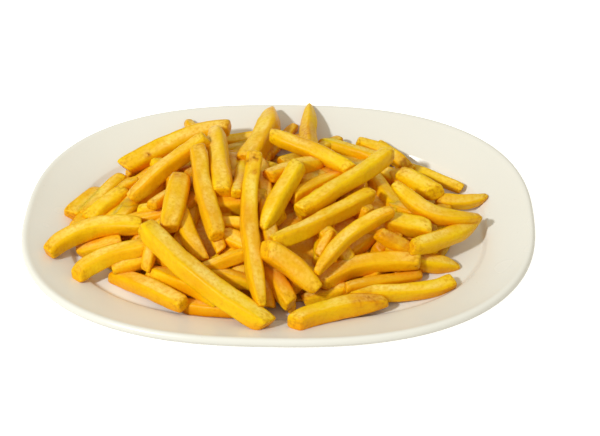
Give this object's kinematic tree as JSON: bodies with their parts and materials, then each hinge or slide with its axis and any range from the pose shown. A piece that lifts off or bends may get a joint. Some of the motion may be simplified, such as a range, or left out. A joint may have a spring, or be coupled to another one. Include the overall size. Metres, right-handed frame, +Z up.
{
  "type": "french fries portion on an oval platter",
  "caption": "A heap of thick-cut French fries on an oval white porcelain platter, served as a side dish.",
  "frame": {"origin": "middle of the platter's foot, on the table", "axes": "+Z up, +X along the platter's long side, -Y towards the diner"},
  "size_m": [0.277, 0.196, 0.0494],
  "materials": {
    "porcelain": "gloss",
    "fried_potato": "satin, dry golden crust with a thin film of oil"
  },
  "bodies": {
    "root": {"platter": "porcelain", "fries": "fried_potato"}
  },
  "joints": []
}
